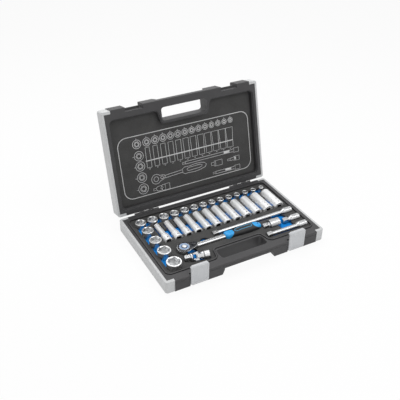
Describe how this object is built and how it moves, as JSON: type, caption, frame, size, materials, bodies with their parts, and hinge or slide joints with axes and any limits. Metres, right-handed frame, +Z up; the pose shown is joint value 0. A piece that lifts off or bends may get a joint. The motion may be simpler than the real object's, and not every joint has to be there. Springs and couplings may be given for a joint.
{
  "type": "socket wrench set in case",
  "caption": "Hinged plastic carrying case with foam trays holding a ratchet, short and deep sockets, extension bars, a universal joint and an adapter.",
  "frame": {"origin": "centre of the base's underside, on the surface that the case stands on", "axes": "+X along the case's width to the right as seen from the handle, -Y to the front with the handle, +Z up"},
  "size_m": [0.47, 0.408, 0.3234],
  "materials": {
    "charcoal_plastic": "fine texture",
    "silver_plastic": "fine texture",
    "black_foam": "closed-cell foam",
    "blue_foam": "closed-cell foam",
    "chrome": "satin",
    "steel": "ground",
    "black_rubber": "matte",
    "blue_plastic": "satin"
  },
  "bodies": {
    "base": {"base_shell": "charcoal_plastic", "base_left_cap": "silver_plastic", "base_right_cap": "silver_plastic", "tray_foam_top": "black_foam", "tray_foam_base": "blue_foam", "latch_pins": "steel", "hinge_pins": "steel"},
    "lid": {"lid_shell": "charcoal_plastic", "lid_left_cap": "silver_plastic", "lid_right_cap": "silver_plastic", "lid_foam": "black_foam"},
    "latch_left": {"latch_left": "silver_plastic"},
    "latch_right": {"latch_right": "silver_plastic"},
    "ratchet": {"ratchet_body": "chrome", "ratchet_cover": "chrome", "ratchet_grip": "black_rubber", "ratchet_grip_trim": "blue_plastic"},
    "ratchet_drive": {"ratchet_drive": "chrome", "ratchet_ball": "steel"},
    "ratchet_button": {"ratchet_button": "chrome"},
    "ratchet_lever": {"ratchet_lever": "chrome"},
    "ratchet_pawl": {"ratchet_pawl": "steel"},
    "joint_drive": {"joint_drive_yoke": "chrome"},
    "joint_cross": {"joint_cross": "chrome"},
    "joint_socket": {"joint_socket_yoke": "chrome"},
    "extension_long": {"extension_long": "chrome"},
    "extension_medium": {"extension_medium": "chrome"},
    "extension_short": {"extension_short": "chrome"},
    "adapter": {"adapter": "chrome"},
    "socket_09": {"socket_09": "chrome"},
    "socket_10": {"socket_10": "chrome"},
    "socket_11": {"socket_11": "chrome"},
    "socket_12": {"socket_12": "chrome"},
    "socket_13": {"socket_13": "chrome"},
    "socket_14": {"socket_14": "chrome"},
    "socket_15": {"socket_15": "chrome"},
    "socket_16": {"socket_16": "chrome"},
    "socket_17": {"socket_17": "chrome"},
    "socket_18": {"socket_18": "chrome"},
    "socket_19": {"socket_19": "chrome"},
    "socket_20": {"socket_20": "chrome"},
    "socket_21": {"socket_21": "chrome"},
    "socket_22": {"socket_22": "chrome"},
    "socket_23": {"socket_23": "chrome"},
    "socket_24": {"socket_24": "chrome"},
    "socket_27": {"socket_27": "chrome"},
    "socket_30": {"socket_30": "chrome"},
    "deep_socket_10": {"deep_socket_10": "chrome"},
    "deep_socket_11": {"deep_socket_11": "chrome"},
    "deep_socket_12": {"deep_socket_12": "chrome"},
    "deep_socket_13": {"deep_socket_13": "chrome"},
    "deep_socket_14": {"deep_socket_14": "chrome"},
    "deep_socket_15": {"deep_socket_15": "chrome"},
    "deep_socket_16": {"deep_socket_16": "chrome"},
    "deep_socket_17": {"deep_socket_17": "chrome"},
    "deep_socket_18": {"deep_socket_18": "chrome"},
    "deep_socket_19": {"deep_socket_19": "chrome"},
    "deep_socket_21": {"deep_socket_21": "chrome"},
    "deep_socket_22": {"deep_socket_22": "chrome"}
  },
  "joints": [
    {"name": "lid_hinge", "type": "hinge", "parent": "base", "child": "lid", "pos_m": [0, 0.1496, 0.0362], "axis": [1, 0, 0], "range_deg": [0, 104.2]},
    {"name": "latch_left_swing", "type": "hinge", "parent": "base", "child": "latch_left", "pos_m": [-0.144, -0.142, 0.01], "axis": [-1, 0, 0], "range_deg": [-85, 4.5]},
    {"name": "latch_right_swing", "type": "hinge", "parent": "base", "child": "latch_right", "pos_m": [0.144, -0.142, 0.01], "axis": [-1, 0, 0], "range_deg": [-85, 4.5]},
    {"name": "drive_spin", "type": "hinge", "parent": "ratchet", "child": "ratchet_drive", "pos_m": [-0.136, -0.049, 0.025], "axis": [0, 0, 1], "continuous": true},
    {"name": "button_press", "type": "slide", "parent": "ratchet_drive", "child": "ratchet_button", "axis": [0, 0, -1], "range_m": [0, 0.002], "stiffness_N_per_m": 800, "springref_m": -0.002},
    {"name": "lever_flip", "type": "hinge", "parent": "ratchet", "child": "ratchet_lever", "pos_m": [-0.108, -0.049, 0.044], "axis": [0, 0, 1], "range_deg": [-20, 20]},
    {"name": "pawl_rock", "type": "hinge", "parent": "ratchet", "child": "ratchet_pawl", "pos_m": [-0.1173, -0.049, 0.028], "axis": [0, 0, 1], "range_deg": [-3, 3]},
    {"name": "joint_bend", "type": "hinge", "parent": "joint_drive", "child": "joint_cross", "pos_m": [-0.11999, -0.09186, 0.038], "axis": [0.1167, 0.6974, 0.7071], "range_deg": [-38, 0]},
    {"name": "joint_swing", "type": "hinge", "parent": "joint_cross", "child": "joint_socket", "pos_m": [-0.11999, -0.09186, 0.038], "axis": [0.1167, 0.6974, -0.7071], "range_deg": [-38, 0]},
    {"name": "lift_ratchet", "type": "slide", "parent": "base", "child": "ratchet", "axis": [0, 0, -1], "range_m": [-0.06, 0]},
    {"name": "lift_joint", "type": "slide", "parent": "base", "child": "joint_drive", "axis": [0, 0, -1], "range_m": [-0.06, 0]},
    {"name": "lift_extension_long", "type": "slide", "parent": "base", "child": "extension_long", "axis": [0, 0, -1], "range_m": [-0.06, 0]},
    {"name": "lift_extension_medium", "type": "slide", "parent": "base", "child": "extension_medium", "axis": [0, 0, -1], "range_m": [-0.06, 0]},
    {"name": "lift_extension_short", "type": "slide", "parent": "base", "child": "extension_short", "axis": [0, 0, -1], "range_m": [-0.06, 0]},
    {"name": "lift_adapter", "type": "slide", "parent": "base", "child": "adapter", "axis": [0, 0, -1], "range_m": [-0.06, 0]},
    {"name": "lift_socket_09", "type": "slide", "parent": "base", "child": "socket_09", "axis": [0, 0, -1], "range_m": [-0.06, 0]},
    {"name": "lift_socket_10", "type": "slide", "parent": "base", "child": "socket_10", "axis": [0, 0, -1], "range_m": [-0.06, 0]},
    {"name": "lift_socket_11", "type": "slide", "parent": "base", "child": "socket_11", "axis": [0, 0, -1], "range_m": [-0.06, 0]},
    {"name": "lift_socket_12", "type": "slide", "parent": "base", "child": "socket_12", "axis": [0, 0, -1], "range_m": [-0.06, 0]},
    {"name": "lift_socket_13", "type": "slide", "parent": "base", "child": "socket_13", "axis": [0, 0, -1], "range_m": [-0.06, 0]},
    {"name": "lift_socket_14", "type": "slide", "parent": "base", "child": "socket_14", "axis": [0, 0, -1], "range_m": [-0.06, 0]},
    {"name": "lift_socket_15", "type": "slide", "parent": "base", "child": "socket_15", "axis": [0, 0, -1], "range_m": [-0.06, 0]},
    {"name": "lift_socket_16", "type": "slide", "parent": "base", "child": "socket_16", "axis": [0, 0, -1], "range_m": [-0.06, 0]},
    {"name": "lift_socket_17", "type": "slide", "parent": "base", "child": "socket_17", "axis": [0, 0, -1], "range_m": [-0.06, 0]},
    {"name": "lift_socket_18", "type": "slide", "parent": "base", "child": "socket_18", "axis": [0, 0, -1], "range_m": [-0.06, 0]},
    {"name": "lift_socket_19", "type": "slide", "parent": "base", "child": "socket_19", "axis": [0, 0, -1], "range_m": [-0.06, 0]},
    {"name": "lift_socket_20", "type": "slide", "parent": "base", "child": "socket_20", "axis": [0, 0, -1], "range_m": [-0.06, 0]},
    {"name": "lift_socket_21", "type": "slide", "parent": "base", "child": "socket_21", "axis": [0, 0, -1], "range_m": [-0.06, 0]},
    {"name": "lift_socket_22", "type": "slide", "parent": "base", "child": "socket_22", "axis": [0, 0, -1], "range_m": [-0.06, 0]},
    {"name": "lift_socket_23", "type": "slide", "parent": "base", "child": "socket_23", "axis": [0, 0, -1], "range_m": [-0.06, 0]},
    {"name": "lift_socket_24", "type": "slide", "parent": "base", "child": "socket_24", "axis": [0, 0, -1], "range_m": [-0.06, 0]},
    {"name": "lift_socket_27", "type": "slide", "parent": "base", "child": "socket_27", "axis": [0, 0, -1], "range_m": [-0.06, 0]},
    {"name": "lift_socket_30", "type": "slide", "parent": "base", "child": "socket_30", "axis": [0, 0, -1], "range_m": [-0.06, 0]},
    {"name": "lift_deep_socket_10", "type": "slide", "parent": "base", "child": "deep_socket_10", "axis": [0, 0, -1], "range_m": [-0.06, 0]},
    {"name": "lift_deep_socket_11", "type": "slide", "parent": "base", "child": "deep_socket_11", "axis": [0, 0, -1], "range_m": [-0.06, 0]},
    {"name": "lift_deep_socket_12", "type": "slide", "parent": "base", "child": "deep_socket_12", "axis": [0, 0, -1], "range_m": [-0.06, 0]},
    {"name": "lift_deep_socket_13", "type": "slide", "parent": "base", "child": "deep_socket_13", "axis": [0, 0, -1], "range_m": [-0.06, 0]},
    {"name": "lift_deep_socket_14", "type": "slide", "parent": "base", "child": "deep_socket_14", "axis": [0, 0, -1], "range_m": [-0.06, 0]},
    {"name": "lift_deep_socket_15", "type": "slide", "parent": "base", "child": "deep_socket_15", "axis": [0, 0, -1], "range_m": [-0.06, 0]},
    {"name": "lift_deep_socket_16", "type": "slide", "parent": "base", "child": "deep_socket_16", "axis": [0, 0, -1], "range_m": [-0.06, 0]},
    {"name": "lift_deep_socket_17", "type": "slide", "parent": "base", "child": "deep_socket_17", "axis": [0, 0, -1], "range_m": [-0.06, 0]},
    {"name": "lift_deep_socket_18", "type": "slide", "parent": "base", "child": "deep_socket_18", "axis": [0, 0, -1], "range_m": [-0.06, 0]},
    {"name": "lift_deep_socket_19", "type": "slide", "parent": "base", "child": "deep_socket_19", "axis": [0, 0, -1], "range_m": [-0.06, 0]},
    {"name": "lift_deep_socket_21", "type": "slide", "parent": "base", "child": "deep_socket_21", "axis": [0, 0, -1], "range_m": [-0.06, 0]},
    {"name": "lift_deep_socket_22", "type": "slide", "parent": "base", "child": "deep_socket_22", "axis": [0, 0, -1], "range_m": [-0.06, 0]}
  ],
  "couplings": [
    {"joint": "pawl_rock", "follows": "lever_flip", "ratio": -0.15}
  ]
}
